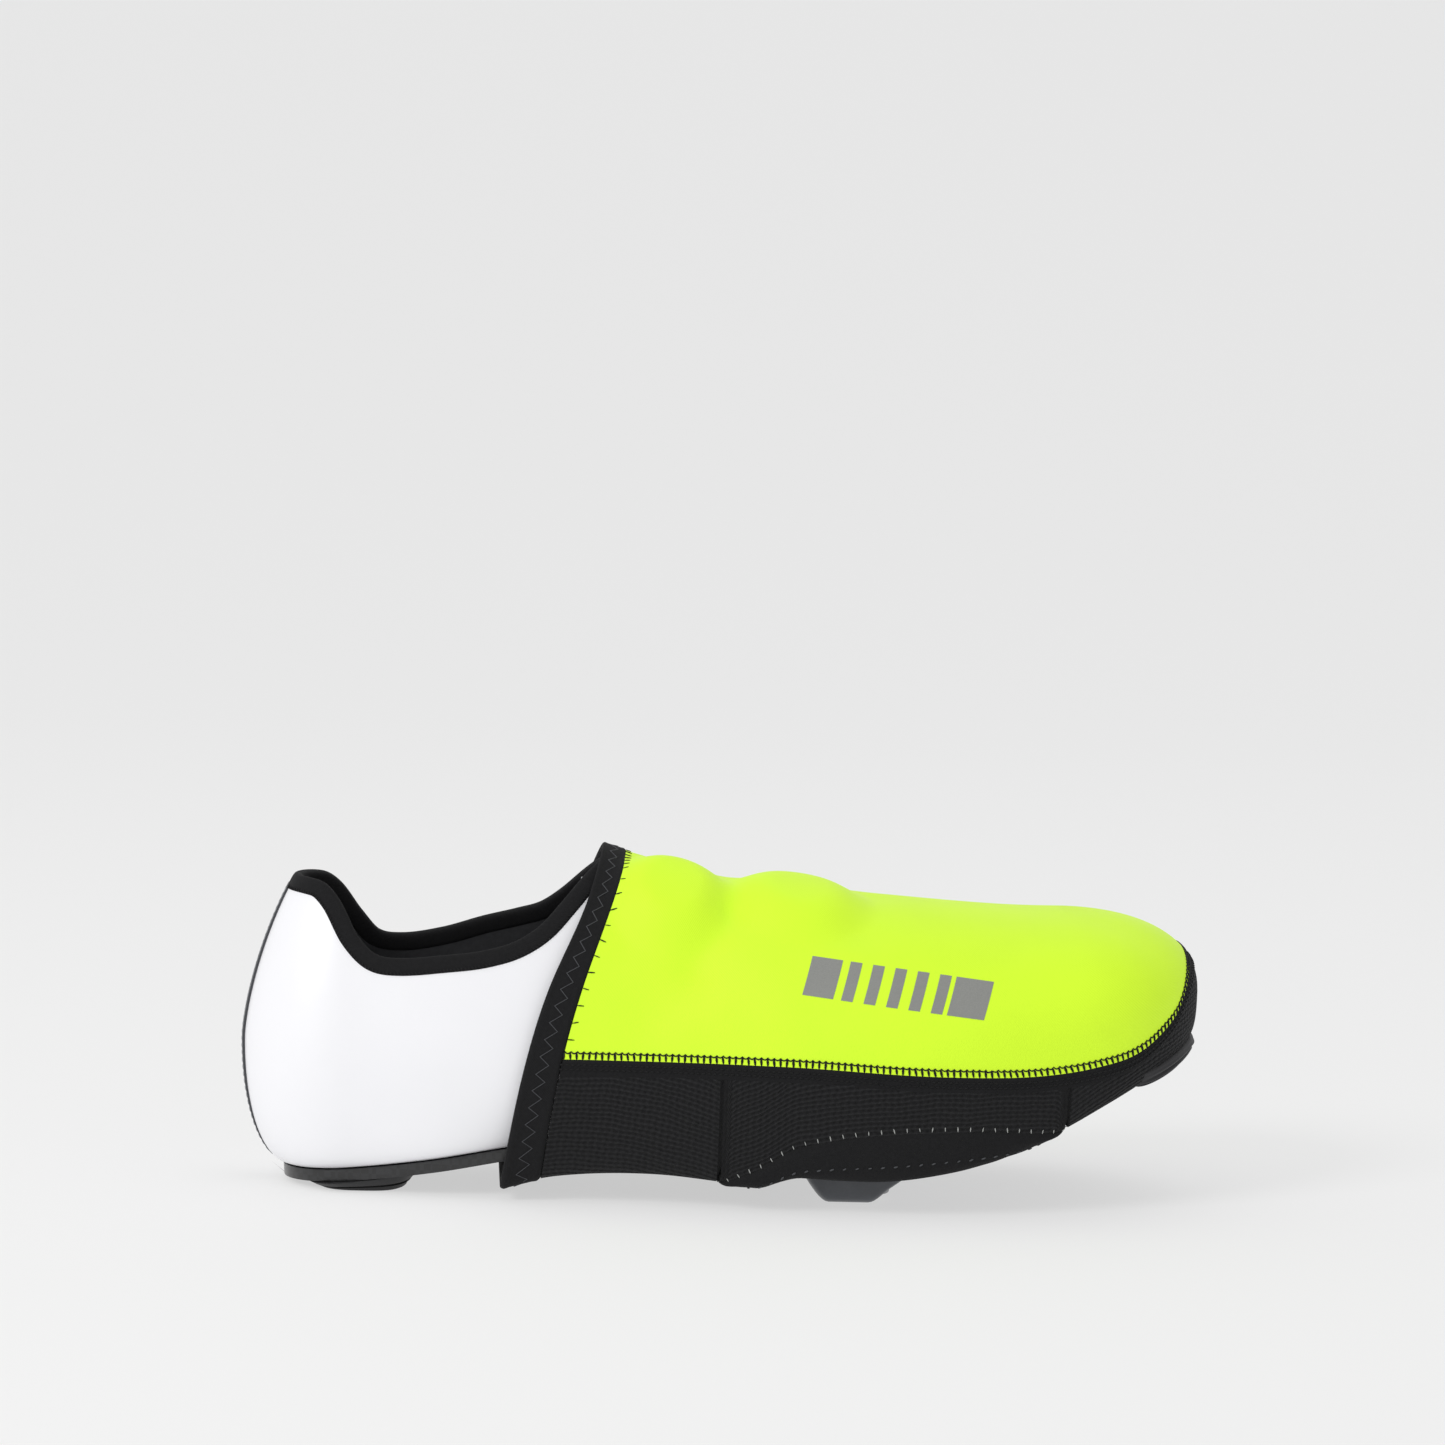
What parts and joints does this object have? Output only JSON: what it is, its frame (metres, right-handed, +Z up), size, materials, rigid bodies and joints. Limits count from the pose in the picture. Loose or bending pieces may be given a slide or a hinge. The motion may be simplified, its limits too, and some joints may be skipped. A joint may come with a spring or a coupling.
{
  "type": "cycling toe cover on a road cycling shoe",
  "caption": "Yellow neoprene cycling toe cover with a black knit underside and cleat opening, worn on a white road shoe with a stiff sole, heel pad and cleat.",
  "frame": {"origin": "on the ground, in the middle of the whole part's box", "axes": "+X from heel to toe, -Y to the lateral side of this right shoe, +Z up"},
  "size_m": [0.2926, 0.1088, 0.1054],
  "materials": {
    "white_microfibre": "smooth satin synthetic leather",
    "black_tape": "smooth woven binding tape",
    "reflective_grey": "stitched reflective strip",
    "silver_textile": "padded textile",
    "grey_foam": "fabric-topped foam",
    "black_composite": "moulded composite",
    "black_rubber": "matte moulded rubber",
    "grey_nylon": "moulded nylon",
    "steel": "bolt heads",
    "yellow_neoprene": "smooth-faced fluorescent neoprene",
    "black_knit": "ribbed abrasion-resistant knit"
  },
  "bodies": {
    "root": {"shoe_upper": "white_microfibre", "collar_binding": "black_tape", "heel_strip": "reflective_grey", "tongue": "silver_textile", "insole": "grey_foam", "sole_plate": "black_composite", "heel_pad": "black_rubber", "cleat": "grey_nylon", "cleat_bolt_lateral": "steel", "cleat_bolt_medial": "steel", "cleat_bolt_front": "steel", "closure_dial_rear": "black_composite", "closure_dial_front": "black_composite", "cover_top_panel": "yellow_neoprene", "cover_lower_panel": "black_knit", "cover_rear_hem": "black_tape", "cleat_opening_binding": "black_tape", "toe_bumper": "black_rubber"}
  },
  "joints": []
}
